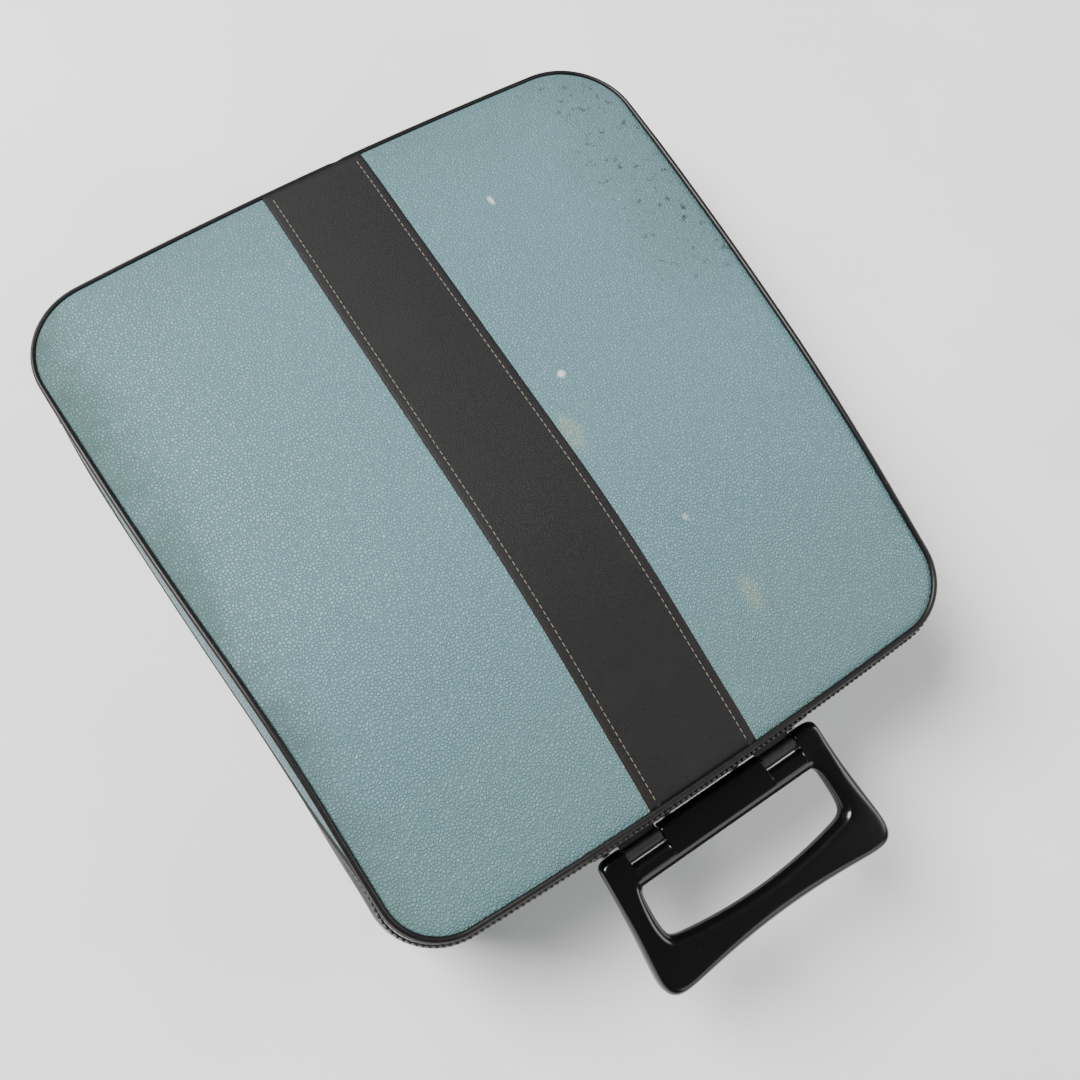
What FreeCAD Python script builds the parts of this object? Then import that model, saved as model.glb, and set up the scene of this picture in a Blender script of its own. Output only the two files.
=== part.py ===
import FreeCAD, Part
import math
import os

V = FreeCAD.Vector

# Case outline, millimetres
HALF_WIDTH = 182.0
HALF_LENGTH = 197.0
SIDE_RADIUS = 8000.0
SIDE_APEX_Y = -140.0
END_RADIUS = 3000.0
FRONT_CORNER_RADIUS = 43.0
REAR_CORNER_RADIUS = 42.0
WALL_LEVELS = [(0.0, 16.0), (5.0, 8.0), (15.0, 3.0), (45.0, 0.0),
               (65.0, 2.0), (82.0, 5.2), (98.0, 10.0), (112.0, 15.2)]

# Lid top profile, in the Y-Z plane
FRONT_TOP_Y = 2.0 - HALF_LENGTH
FRONT_TOP_Z = 58.0
RIDGE_Y = 60.0
RIDGE_Z = 105.0
REAR_TOP_Y = HALF_LENGTH - 2.0
REAR_TOP_Z = 98.0
RIDGE_RADIUS = 400.0

# Case walls and trim
BOARD = 3.0
LINING = 1.0
PIPING = 1.7
BAND_HALF_WIDTH = 32.0
BAND_SKIN = 0.6
HEM = 8.0

# Zip: the line where lid and base part
ZIP_FRONT_Z = 11.0
ZIP_BEND_Y = 25.0 - HALF_LENGTH
ZIP_BEND_Z = 14.0
ZIP_TOP_Y = HALF_LENGTH - 57.0
ZIP_TOP_Z = 90.0
ZIP_SHELL_GAP = 3.5
TAPE_EDGE = 0.4
TAPE_WIDTH = 6.0
TAPE_THICK = 1.0
TEETH_EDGE = 0.15
TEETH_WIDTH = 2.8
TEETH_TOP = 2.6
ZIP_START_Y = 51.0 - HALF_LENGTH

# Fabric hinge across the front
HINGE_HALF_WIDTH = 128.0
HINGE_Z = 8.0

# Carrying handle
PIVOT_Y = HALF_LENGTH + 3.2
PIVOT_Z = ZIP_TOP_Z - 10.0
KNUCKLE_X = 43.0
KNUCKLE_WIDTH = 21.0
KNUCKLE_RADIUS = 3.9
PIN_RADIUS = 1.6
PIN_CLEARANCE = 0.05
NOTCH_CLEARANCE = 0.6
NOTCH_DEPTH = 4.8
HANDLE_HALF_WIDTH = 70.0
HANDLE_END_Y = PIVOT_Y + 68.8
HANDLE_THICK = 14.0
HANDLE_NECK_THICK = 9.6
HANDLE_CORNER = 11.0
OPENING_HALF_WIDTH = 54.0
OPENING_NEAR_Y = PIVOT_Y + 14.8
OPENING_FAR_Y = PIVOT_Y + 47.3
BRACKET_HALF_WIDTH = 66.0
BRACKET_THICK = 2.0

# Machine
FLOOR_Z = 4.0
FOOT_HEIGHT = 5.0
SHEET = 1.2
MACHINE_HALF_WIDTH = 148.0
MACHINE_FRONT_Y = -178.0
MACHINE_REAR_Y = 148.0
ENAMEL_WALL = 2.0
KEY_PITCH = 19.0
KEY_WIDTH = 15.0
KEY_CAP_HEIGHT = 5.0
KEY_ROWS = [("key_row_bottom", -146.0, 41.0, 10, -85.5), ("key_row_home", -127.0, 48.0, 11, -95.0),
            ("key_row_top", -108.0, 55.0, 11, -100.0), ("key_row_number", -89.0, 62.0, 12, -109.5)]
PLATEN_Y = 80.0
PLATEN_Z = 74.0
PLATEN_RADIUS = 15.5
PLATEN_HALF_LENGTH = 118.0
SHAFT_RADIUS = 4.0
SHAFT_CLEARANCE = 0.05
KNOB_RADIUS = 12.5
FEED_RADIUS = 6.0
SPOOL_X = 88.0
SPOOL_Y = -22.0
SPOOL_RADIUS = 22.0
TYPEBARS = 42


def circle_crossing(ca, ra, cb, rb, sign):
    """Point at distance ra from ca and rb from cb, on the given side of the line ca-cb."""
    dx, dy = cb[0] - ca[0], cb[1] - ca[1]
    d = math.hypot(dx, dy)
    a = (ra * ra - rb * rb + d * d) / (2 * d)
    h = math.sqrt(ra * ra - a * a)
    return (ca[0] + a * dx / d - sign * h * dy / d, ca[1] + a * dy / d + sign * h * dx / d)


def angle_to(centre, point):
    return math.atan2(point[1] - centre[1], point[0] - centre[0])


def outline_arcs():
    """Arcs (centre, radius, start, end) of the case outline, anticlockwise from the front right corner."""
    side = (HALF_WIDTH - SIDE_RADIUS, SIDE_APEX_Y)
    front = (0.0, END_RADIUS - HALF_LENGTH)
    rear = (0.0, HALF_LENGTH - END_RADIUS)
    rf, rr = FRONT_CORNER_RADIUS, REAR_CORNER_RADIUS
    cf = circle_crossing(side, SIDE_RADIUS - rf, front, END_RADIUS - rf, -1)
    cr = circle_crossing(side, SIDE_RADIUS - rr, rear, END_RADIUS - rr, 1)
    a0, a1 = angle_to(front, cf), angle_to(side, cf)
    b0, b1 = angle_to(side, cr), angle_to(rear, cr)
    arcs = [(cf, rf, a0, a1), (side, SIDE_RADIUS, a1, b0), (cr, rr, b0, b1)]
    arcs.append((rear, END_RADIUS, b1, math.pi - b1))
    for c, r, s, e in reversed(arcs[:3]):
        arcs.append(((-c[0], c[1]), r, math.pi - e, math.pi - s))
    arcs.append((front, END_RADIUS, math.pi - a0 - 2 * math.pi, a0))
    return arcs


def outline_wire(inset, z):
    edges = []
    for c, r, s, e in ARCS:
        pts = [V(c[0] + (r - inset) * math.cos(t), c[1] + (r - inset) * math.sin(t), z)
               for t in (s, (s + e) / 2, e)]
        edges.append(Part.Arc(*pts).toShape())
    return Part.Wire(edges)


def wall_column(grow):
    """The case's outer walls, with no lid top, moved outwards by grow."""
    wires = []
    for z, inset in WALL_LEVELS:
        wires.append(outline_wire(inset - grow, z - grow if z == 0.0 else z))
    return Part.makeLoft(wires, True, False)


def below_profile(points, reach=260.0):
    """Everything under a Y-Z line, right across the case."""
    pts = [V(-reach, y, z) for y, z in points]
    pts += [V(-reach, points[-1][0], -60.0), V(-reach, points[0][0], -60.0)]
    face = Part.Face(Part.makePolygon(pts + [pts[0]]))
    return face.extrude(V(2 * reach, 0, 0))


def under_top(grow):
    """Everything under the lid's top surface, moved up by grow."""
    s0 = (RIDGE_Z - FRONT_TOP_Z) / (RIDGE_Y - FRONT_TOP_Y)
    s1 = (REAR_TOP_Z - RIDGE_Z) / (REAR_TOP_Y - RIDGE_Y)
    bend = (math.atan(s0) - math.atan(s1)) / 2
    t = RIDGE_RADIUS * math.tan(bend)
    a0, a1 = math.atan(s0), math.atan(s1)
    cy, cz = RIDGE_Y - t * math.cos(a0), RIDGE_Z - t * math.sin(a0)
    centre = (cy + RIDGE_RADIUS * math.sin(a0), cz - RIDGE_RADIUS * math.cos(a0))
    r = RIDGE_RADIUS + grow
    arc = [V(-260, centre[0] - r * math.sin(a), centre[1] + r * math.cos(a))
           for a in (a0, (a0 + a1) / 2, a1)]
    start = V(-260, arc[0].y - 300 * math.cos(a0), arc[0].z - 300 * math.sin(a0))
    end = V(-260, arc[2].y + 300 * math.cos(a1), arc[2].z + 300 * math.sin(a1))
    low_end, low_start = V(-260, end.y, -60), V(-260, start.y, -60)
    edges = [Part.makeLine(start, arc[0]), Part.Arc(*arc).toShape(), Part.makeLine(arc[2], end),
             Part.makeLine(end, low_end), Part.makeLine(low_end, low_start),
             Part.makeLine(low_start, start)]
    return Part.Face(Part.Wire(edges)).extrude(V(520, 0, 0))


def zip_line(offset):
    """The parting line moved by offset at right angles to itself, as Y-Z points."""
    slope = math.atan2(ZIP_TOP_Z - ZIP_BEND_Z, ZIP_TOP_Y - ZIP_BEND_Y)
    low = math.atan2(ZIP_BEND_Z - ZIP_FRONT_Z, 38.0)
    h0, h1 = (slope + low) / 2, slope / 2
    k0, k1 = offset / math.cos((slope - low) / 2), offset / math.cos(h1)
    p0 = (ZIP_BEND_Y - 38.0 - offset * math.sin(low), ZIP_FRONT_Z + offset * math.cos(low))
    p1 = (ZIP_BEND_Y - k0 * math.sin(h0), ZIP_BEND_Z + k0 * math.cos(h0))
    p2 = (ZIP_TOP_Y - k1 * math.sin(h1), ZIP_TOP_Z + k1 * math.cos(h1))
    return [(p0[0] - 50.0, p0[1] - 50.0 * math.tan(low)), p1, p2, (240.0, p2[1])]


def below_zip(offset):
    return below_profile(zip_line(offset))


def box(x0, x1, y0, y1, z0, z1):
    return Part.makeBox(x1 - x0, y1 - y0, z1 - z0, V(x0, y0, z0))


def rod(axis, r, start, length):
    return Part.makeCylinder(r, length, V(*start), V(*axis))


def rod_x(r, x0, x1, y, z):
    return rod((1, 0, 0), r, (x0, y, z), x1 - x0)


def rod_z(r, z0, z1, x, y):
    return rod((0, 0, 1), r, (x, y, z0), z1 - z0)


def plate_yz(points, x0, x1):
    """A solid with the given Y-Z corners, from x0 to x1."""
    pts = [V(x0, y, z) for y, z in points]
    return Part.Face(Part.makePolygon(pts + [pts[0]])).extrude(V(x1 - x0, 0, 0))


def plate_xy(points, z0, z1):
    pts = [V(x, y, z0) for x, y in points]
    return Part.Face(Part.makePolygon(pts + [pts[0]])).extrude(V(0, 0, z1 - z0))


def both_sides(shape):
    return [shape, shape.mirror(V(0, 0, 0), V(1, 0, 0))]


ARCS = outline_arcs()
WALLS = {g: wall_column(g) for g in (0.0, -BOARD, -BOARD - LINING, TAPE_THICK)}
OUTER = WALLS[0.0].common(under_top(0.0))
INNER = WALLS[-BOARD].common(under_top(-BOARD))
LINED = WALLS[-BOARD - LINING].common(under_top(-BOARD - LINING))


def base_shell():
    return OUTER.cut(INNER).common(below_zip(-ZIP_SHELL_GAP))


def base_lining():
    return INNER.cut(LINED).common(below_zip(-ZIP_SHELL_GAP))


def lid_shell():
    return OUTER.cut(INNER).cut(below_zip(ZIP_SHELL_GAP))


def lid_lining():
    return INNER.cut(LINED).cut(below_zip(ZIP_SHELL_GAP))


def lid_piping():
    """Welt wrapped over the edge where the top panel meets the walls."""
    grown = wall_column(PIPING).common(under_top(PIPING))
    return grown.cut(OUTER).cut(wall_column(-PIPING)).cut(under_top(-PIPING))


def base_piping():
    """Welt round the bottom edge of the tray, just clear of the table."""
    slab = box(-260, 260, -260, 260, 3.2, 5.4)
    return wall_column(1.2).common(slab).cut(WALLS[0.0])


def lid_band():
    """Dark leathercloth strip over the top panel, and on down the front wall."""
    skin = wall_column(BAND_SKIN).common(under_top(BAND_SKIN)).cut(OUTER)
    strip = skin.common(box(-BAND_HALF_WIDTH, BAND_HALF_WIDTH, -260, 260, 0, 130))
    top = strip.common(wall_column(-PIPING)).cut(under_top(-PIPING))
    wall = strip.common(under_top(-PIPING - 0.2)).common(box(-99, 99, -260, 0, HINGE_Z + HEM, 130))
    return Part.makeCompound([top, wall])


def zip_zone(shape, low, high):
    """The part of a wall layer between two offsets from the zip line, behind the front corners."""
    strip = shape.common(below_zip(high)).cut(below_zip(low))
    return strip.common(box(-260, 260, ZIP_START_Y, 260, 0, 130))


def zip_tape_lid():
    return zip_zone(WALLS[TAPE_THICK].cut(WALLS[0.0]), TAPE_EDGE, TAPE_WIDTH)


def zip_tape_base():
    return zip_zone(WALLS[TAPE_THICK].cut(WALLS[0.0]), -TAPE_WIDTH, -TAPE_EDGE)


def zip_teeth_lid():
    return zip_zone(wall_column(TEETH_TOP).cut(WALLS[TAPE_THICK]), TEETH_EDGE, TEETH_WIDTH)


def zip_teeth_base():
    return zip_zone(wall_column(TEETH_TOP).cut(WALLS[TAPE_THICK]), -TEETH_WIDTH, -TEETH_EDGE)


def lid_hinge_strip():
    """Cloth hinge, sewn to the tray and shown up to the lid's lower edge."""
    layer = wall_column(1.0).cut(WALLS[0.0])
    strip = layer.common(box(-HINGE_HALF_WIDTH, HINGE_HALF_WIDTH, -260, -100, 3.4, 13.2))
    return strip.cut(wall_column(1.3).common(box(-260, 260, -260, 260, 3.1, 5.5)))


def wall_half_width(y, z, grow):
    """Half the case's width on the straight run of its side, at height z."""
    inset = 0.0
    for (z0, i0), (z1, i1) in zip(WALL_LEVELS, WALL_LEVELS[1:]):
        if z0 <= z <= z1:
            inset = i0 + (i1 - i0) * (z - z0) / (z1 - z0)
    return HALF_WIDTH - (y - SIDE_APEX_Y) ** 2 / (2 * SIDE_RADIUS) - inset + grow


def zip_height(y):
    return ZIP_BEND_Z + (y - ZIP_BEND_Y) * (ZIP_TOP_Z - ZIP_BEND_Z) / (ZIP_TOP_Y - ZIP_BEND_Y)


def slider_frame(shape):
    """Places a shape drawn along +Y at the zip's front end, on the -X side of the case."""
    y = ZIP_START_Y - 9.5
    tilt = math.degrees(math.atan2(ZIP_TOP_Z - ZIP_BEND_Z, ZIP_TOP_Y - ZIP_BEND_Y))
    shape.rotate(V(0, 0, 0), V(1, 0, 0), tilt)
    shape.translate(V(-wall_half_width(y, zip_height(y), TEETH_TOP), y, zip_height(y)))
    return shape


def zip_slider():
    """Slider plate outside the teeth, with a bridge for its pull."""
    plate = box(-3.3, -1.8, -6, 6, -4.2, 3.6)
    posts = box(-5.5, -3.3, -1.2, 1.2, -3.6, -2.4).fuse(box(-5.5, -3.3, -1.2, 1.2, 2.4, 3.6))
    pin = rod((0, 0, 1), 0.6, (-4.7, 0, -3.6), 7.2)
    return slider_frame(plate.fuse(posts).fuse(pin))


def zip_pull():
    """Flat pull tab with an eye round the slider's pin."""
    tab = box(-5.2, -4.2, -24, -0.5, -3.2, 3.2).cut(box(-6, -3, -21, -16, -1.4, 1.4))
    eye = rod((0, 0, 1), 1.3, (-4.7, 0, -2.2), 4.4)
    neck = box(-5.2, -4.2, -4.0, 0, -2.2, 2.2)
    tab = tab.cut(box(-9, 0, -4.0, 5, -9, 9)).fuse(neck).fuse(eye)
    return slider_frame(tab.cut(rod((0, 0, 1), 0.65, (-4.7, 0, -9), 18.0)))


def zip_stops():
    """Crimped stops on the tray tape, in front of the two ends of the teeth."""
    layer = wall_column(TEETH_TOP).cut(WALLS[0.0])
    strip = layer.common(below_zip(-0.4)).cut(below_zip(-3.4))
    return strip.common(box(-260, 260, ZIP_START_Y - 2.4, ZIP_START_Y - 0.2, 0, 130))


def handle_bracket():
    """Steel plate riveted to the rear wall, with two rolled knuckles."""
    zone = box(-BRACKET_HALF_WIDTH, BRACKET_HALF_WIDTH, PIVOT_Y - 50, PIVOT_Y + 60,
               PIVOT_Z - 16, PIVOT_Z + 3.4)
    plate = wall_column(BRACKET_THICK).cut(WALLS[0.0]).common(zone)
    parts = [plate]
    for x in (-KNUCKLE_X, KNUCKLE_X):
        x0, x1 = x - KNUCKLE_WIDTH / 2, x + KNUCKLE_WIDTH / 2
        web = box(x0, x1, PIVOT_Y - 9.0, PIVOT_Y, PIVOT_Z - KNUCKLE_RADIUS, PIVOT_Z)
        web = web.cut(wall_column(BRACKET_THICK - 0.5))
        parts.append(rod_x(KNUCKLE_RADIUS, x0, x1, PIVOT_Y, PIVOT_Z).fuse(web))
    solid = parts[0].fuse(parts[1:]).removeSplitter()
    return solid.cut(rod_x(PIN_RADIUS + PIN_CLEARANCE, -90, 90, PIVOT_Y, PIVOT_Z))


def bracket_rivets():
    rivets = []
    for x in (-60.0, -22.0, 22.0, 60.0):
        head = rod((0, 1, 0), 2.6, (x, PIVOT_Y - 20, PIVOT_Z - 10.5), 30)
        rivets.append(head.common(wall_column(BRACKET_THICK + 1.0)).cut(wall_column(BRACKET_THICK)))
    return Part.makeCompound(rivets)


def handle_plan(inset, z):
    """Outer plan of the handle: straight sides, round outer corners, a grip edge bowed in slightly."""
    w, y1, r = HANDLE_HALF_WIDTH - inset, HANDLE_END_Y - inset, HANDLE_CORNER - inset
    k = r * (1 - math.sqrt(0.5))
    right = [V(w, PIVOT_Y, z), V(w + 2.0, y1 - r, z), V(w + 2.0 - k, y1 - k, z), V(w + 2.0 - r, y1, z)]
    left = [V(-p.x, p.y, p.z) for p in right]
    edges = [Part.makeLine(left[0], right[0]), Part.makeLine(right[0], right[1]),
             Part.Arc(right[1], right[2], right[3]).toShape(),
             Part.Arc(right[3], V(0, y1 - 3.0, z), left[3]).toShape(),
             Part.Arc(left[3], left[2], left[1]).toShape(), Part.makeLine(left[1], left[0])]
    return Part.Wire(edges)


def handle_opening(grow, z0, z1):
    """The finger opening: flat near side, bowed grip side."""
    w, y0, y1 = OPENING_HALF_WIDTH + grow, OPENING_NEAR_Y - grow, OPENING_FAR_Y + grow
    a, b, c, d = V(-w, y0, z0), V(w, y0, z0), V(w + 2.0, y1 - 5.0, z0), V(-w - 2.0, y1 - 5.0, z0)
    edges = [Part.makeLine(a, b), Part.makeLine(b, c),
             Part.Arc(c, V(0, y1, z0), d).toShape(), Part.makeLine(d, a)]
    return Part.Face(Part.Wire(edges)).extrude(V(0, 0, z1 - z0))


def handle():
    """Moulded handle: hinge bar with two knuckle notches, side arms and a thicker grip."""
    zc, n, t = PIVOT_Z, HANDLE_NECK_THICK / 2, HANDLE_THICK / 2
    levels = [(-t, 4.5), (-t + 1.4, 1.6), (-t + 4.0, 0.0), (t - 4.0, 0.0), (t - 1.4, 1.6), (t, 4.5)]
    body = Part.makeLoft([handle_plan(inset, zc + z) for z, inset in levels], True, True)
    below = [(-1, -n), (14, -n), (32, -t - 1), (100, -t - 1)]
    profile = [(PIVOT_Y + y, zc + z) for y, z in below + [(y, -z) for y, z in reversed(below)]]
    body = body.common(plate_yz(profile, -99, 99))
    body = body.fuse(rod_x(n + 0.2, -HANDLE_HALF_WIDTH, HANDLE_HALF_WIDTH, PIVOT_Y, zc))
    body = body.cut(handle_opening(0.0, zc - 20, zc + 20))
    for x in (-KNUCKLE_X, KNUCKLE_X):
        half = KNUCKLE_WIDTH / 2 + NOTCH_CLEARANCE
        body = body.cut(box(x - half, x + half, PIVOT_Y - 20, PIVOT_Y + NOTCH_DEPTH, zc - 20, zc + 20))
        body = body.cut(rod_x(PIN_RADIUS, x - 17, x + 17, PIVOT_Y, zc))
    return body


def handle_pins():
    pins = [rod_x(PIN_RADIUS, x - 17, x + 17, PIVOT_Y, PIVOT_Z) for x in (-KNUCKLE_X, KNUCKLE_X)]
    return Part.makeCompound(pins)


def machine_feet():
    z1 = FLOOR_Z + FOOT_HEIGHT
    feet = [rod_z(9.0, FLOOR_Z, z1, x, y) for x in (-125, 125) for y in (-150, 122)]
    return Part.makeCompound(feet)


def machine_pan():
    """Pressed bottom tray with a short upturned rim."""
    z0 = FLOOR_Z + FOOT_HEIGHT
    w, y0, y1 = MACHINE_HALF_WIDTH - 3.0, MACHINE_FRONT_Y + 3.0, MACHINE_REAR_Y - 3.0
    outer = box(-w, w, y0, y1, z0, z0 + 7.0)
    return outer.cut(box(-w + SHEET, w - SHEET, y0 + SHEET, y1 - SHEET, z0 + SHEET, z0 + 9.0))


def casing_profile(grow):
    f, r = MACHINE_FRONT_Y, MACHINE_REAR_Y
    return [(f - grow, 10.0), (f - grow, 25.0 + grow), (f + 14.0, 31.0 + grow), (-78.0, 58.0 + grow),
            (-74.0, 62.0 + grow), (46.0, 62.0 + grow), (52.0, 50.0 + grow), (r + grow, 50.0 + grow),
            (r + grow, 10.0)]


def body_casing():
    """Enamelled outer casing, open for the keys, the type basket and the carriage."""
    w = MACHINE_HALF_WIDTH
    shell = plate_yz(casing_profile(0.0), -w, w)
    shell = shell.cut(plate_yz([(y, z - 1 if z == 10.0 else z) for y, z in casing_profile(-ENAMEL_WALL)],
                               -w + ENAMEL_WALL, w - ENAMEL_WALL))
    shell = shell.cut(box(-130, 130, -158, -79, 20, 90)).cut(box(-116, 116, -70, 40, 50, 90))
    shell = shell.cut(box(-70, 70, -175, -163, 10, 60)).cut(box(-100, 100, 38, 58.5, 40, 90))
    return shell.cut(box(-121, 121, 58, 87, 40, 90))


def ribbon_cover():
    """Hood over the spools and type basket, with a slot for the type bars to rise through."""
    def profile(g):
        return [(-76.0 - g, 62.3), (-70.0 - g, 72.0 + g), (-30.0, 79.0 + g), (40.0, 82.0 + g), (40.0, 62.3)]
    hood = plate_yz(profile(0.0), -121, 121)
    inner = plate_yz([(y + 2.0 if y > 30 else y, z - 1 if z == 62.3 else z) for y, z in profile(-1.5)],
                     -119.5, 119.5)
    return hood.cut(inner).cut(box(-28, 28, -8, 60, 70, 90))


def spool_posts():
    posts = [rod_z(2.5, 13.0, 76.0, x, SPOOL_Y).fuse(rod_z(9.0, 50.0, 53.0, x, SPOOL_Y))
             for x in (-SPOOL_X, SPOOL_X)]
    plinth = box(-104, 104, SPOOL_Y - 8, SPOOL_Y + 8, 10.2, 13.0)
    return Part.makeCompound(posts + [plinth])


def spool(x):
    flange = rod_z(SPOOL_RADIUS, 53.2, 54.2, x, SPOOL_Y)
    top = rod_z(SPOOL_RADIUS, 69.0, 70.0, x, SPOOL_Y)
    solid = flange.fuse([top, rod_z(8.0, 54.2, 69.0, x, SPOOL_Y)])
    return solid.cut(rod_z(2.5 + SHAFT_CLEARANCE, 50, 80, x, SPOOL_Y))


def spool_left():
    return spool(-SPOOL_X)


def spool_right():
    return spool(SPOOL_X)


def ribbon_pack(x):
    return rod_z(15.0, 55.2, 67.8, x, SPOOL_Y).cut(rod_z(8.0, 50, 80, x, SPOOL_Y))


def ribbon_pack_left():
    return ribbon_pack(-SPOOL_X)


def ribbon_pack_right():
    return ribbon_pack(SPOOL_X)


def ribbon():
    """Free span of the ribbon, from one pack past the printing point to the other."""
    path = [(-SPOOL_X - 2.0, SPOOL_Y + 15.4), (-24.0, 57.0), (24.0, 57.0), (SPOOL_X + 2.0, SPOOL_Y + 15.4)]
    back = [(x, y + 0.4) for x, y in reversed(path)]
    return plate_xy(path + back, 55.2, 67.8)


def ribbon_guide():
    """Forked vibrator that holds the ribbon at the printing point."""
    forks = [box(x - 1.5, x + 1.5, 54.8, 56.6, 20.0, 69.0) for x in (-14.0, 14.0)]
    return forks[0].fuse([forks[1], box(-15.5, 15.5, 54.8, 56.6, 20.0, 24.0)])


def type_segment():
    """Half-ring block in which the type bars pivot."""
    ring = rod_z(40.0, 22.0, 36.0, 0, 46.0).cut(rod_z(28.0, 0, 60, 0, 46.0))
    ring = ring.common(box(-60, 60, -40, 48.0, 0, 60))
    legs = [box(x - 4, x + 4, 36.0, 46.0, 10.2, 22.0) for x in (-34.0, 34.0)]
    return ring.fuse(legs)


def type_rest():
    """Felt-topped crescent that the resting type bars lie on."""
    ring = rod_z(78.0, 32.0, 35.5, 0, 46.0).cut(rod_z(70.0, 0, 60, 0, 46.0))
    ring = ring.common(box(-90, 90, -60, 24.0, 0, 60))
    legs = [box(x - 3, x + 3, 19.0, 23.0, 10.2, 33.0) for x in (-69.6, 69.6)]
    return ring.fuse(legs)


def typebars():
    """The basket of type bars at rest, fanned out in front of the printing point."""
    bars = []
    for i in range(TYPEBARS):
        bar = box(41.0, 80.0, -0.6, 0.6, 30.0, 33.5)
        slug = box(80.0, 83.0, -1.4, 1.4, 29.0, 36.5)
        shape = bar.fuse(slug)
        shape.rotate(V(39.8, 0, 32), V(0, -1, 0), 11.0)
        shape.rotate(V(0, 0, 0), V(0, 0, 1), -161.0 + 142.0 * i / (TYPEBARS - 1))
        shape.translate(V(0, 46.0, 0))
        bars.append(shape)
    return Part.makeCompound(bars)


def key_row(y, z, count, x0):
    """One row of keys: square caps with bevelled rims, each on its own flat stem."""
    h = KEY_WIDTH / 2
    cap = box(-h, h, -h, h, z - KEY_CAP_HEIGHT, z)
    cap = cap.makeChamfer(1.4, [e for e in cap.Edges if e.BoundBox.ZMin > z - 0.1])
    cap = cap.makeFillet(2.2, [e for e in cap.Edges if e.BoundBox.ZLength > 3.0])
    stem = box(-2.0, 2.0, -0.6, 0.6, 24.0, z - KEY_CAP_HEIGHT)
    key = cap.fuse(stem)
    keys = []
    for i in range(count):
        one = key.copy()
        one.translate(V(x0 + KEY_PITCH * i, y, 0))
        keys.append(one)
    return Part.makeCompound(keys)


def side_keys(x_left, x_right, y, z, width):
    h = KEY_WIDTH / 2
    caps = []
    for x in (x_left, x_right):
        cap = box(x - width / 2, x + width / 2, y - h, y + h, z - KEY_CAP_HEIGHT, z)
        stem = box(x - 2.0, x + 2.0, y - 0.6, y + 0.6, 24.0, z - KEY_CAP_HEIGHT)
        caps.append(cap.fuse(stem))
    return caps


def shift_keys():
    """Both shift keys and the shaft that makes them move as one."""
    left, right = side_keys(-112.0, 106.5, -146.0, 41.0, 24.0)
    shaft = rod_x(2.0, -114.0, 108.5, -152.0, 22.0)
    lugs = [box(x - 2, x + 2, -152.0, -145.4, 20.5, 24.5).cut(shaft) for x in (-112.0, 106.5)]
    return Part.makeCompound([left, right, shaft, lugs[0].cut(left), lugs[1].cut(right)])


def shift_lock():
    return side_keys(-117.0, -117.0, -127.0, 48.0, 15.0)[0]


def space_bar():
    bar = box(-62, 62, -173.0, -165.0, 30.0, 35.0)
    bar = bar.makeChamfer(1.6, [e for e in bar.Edges if e.BoundBox.ZMin > 34.9])
    return bar.fuse([box(x - 2, x + 2, -170, -168.8, 21.0, 30.0) for x in (-50.0, 50.0)])


def carriage_rail():
    """Fixed rail on two posts that the carriage rides along."""
    rail = box(-138, 138, 90.0, 102.0, 50.2, 54.0)
    posts = [box(x - 5, x + 5, 92.0, 100.0, 10.2, 47.8) for x in (-100.0, 100.0)]
    return Part.makeCompound([rail] + posts)


def carriage_frame():
    """Two end plates joined by a cross bar that sits on the rail."""
    cross = box(-122.0, 122.0, 92.0, 104.0, 54.1, 57.0)
    plate = [(62.0, 56.0), (58.0, 74.0), (66.0, 88.0), (92.0, 90.0), (112.0, 80.0), (112.0, 54.1),
             (90.0, 54.1)]
    ends = [plate_yz(plate, x0, x0 + 4.0) for x0 in (-126.0, 122.0)]
    solid = cross.fuse(ends)
    solid = solid.cut(rod_x(SHAFT_RADIUS + SHAFT_CLEARANCE, -140, 140, PLATEN_Y, PLATEN_Z))
    return solid.cut(rod_x(2.0 + SHAFT_CLEARANCE, -140, 140, PLATEN_Y, PLATEN_Z - 21.8 + 3.0))


def platen():
    """Rubber roller on its steel shaft, the length of the carriage."""
    roller = rod_x(PLATEN_RADIUS, -PLATEN_HALF_LENGTH, PLATEN_HALF_LENGTH, PLATEN_Y, PLATEN_Z)
    return roller.cut(rod_x(SHAFT_RADIUS, -130, 130, PLATEN_Y, PLATEN_Z))


def platen_shaft():
    return rod_x(SHAFT_RADIUS, -146.0, 146.0, PLATEN_Y, PLATEN_Z)


def platen_knobs():
    """Ribbed knobs on both ends of the platen shaft."""
    knobs = []
    for x0, x1 in ((-158.0, -142.0), (142.0, 158.0)):
        knob = rod_x(KNOB_RADIUS, x0, x1, PLATEN_Y, PLATEN_Z)
        for i in range(18):
            a = 2 * math.pi * i / 18
            groove = rod_x(1.0, x0 - 1, x1 + 1, PLATEN_Y + KNOB_RADIUS * math.cos(a),
                           PLATEN_Z + KNOB_RADIUS * math.sin(a))
            knob = knob.cut(groove)
        knobs.append(knob.cut(rod_x(SHAFT_RADIUS, -146.0, 146.0, PLATEN_Y, PLATEN_Z)))
    return Part.makeCompound(knobs)


def line_ratchet():
    """Toothed wheel on the platen's left end, which sets the line spacing."""
    wheel = rod_x(9.5, -121.0, -119.0, PLATEN_Y, PLATEN_Z)
    for i in range(16):
        a = 2 * math.pi * i / 16
        wheel = wheel.cut(rod_x(1.1, -130, -110, PLATEN_Y + 9.5 * math.cos(a), PLATEN_Z + 9.5 * math.sin(a)))
    return wheel.cut(rod_x(SHAFT_RADIUS, -146.0, 146.0, PLATEN_Y, PLATEN_Z))


def paper_table():
    """Sheet behind the platen that the paper leans on."""
    sheet = [(99.5, 60.0), (113.5, 90.0), (115.0, 90.0), (101.0, 60.0), (101.0, 57.0), (99.5, 57.0)]
    return plate_yz(sheet, -118, 118)


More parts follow.
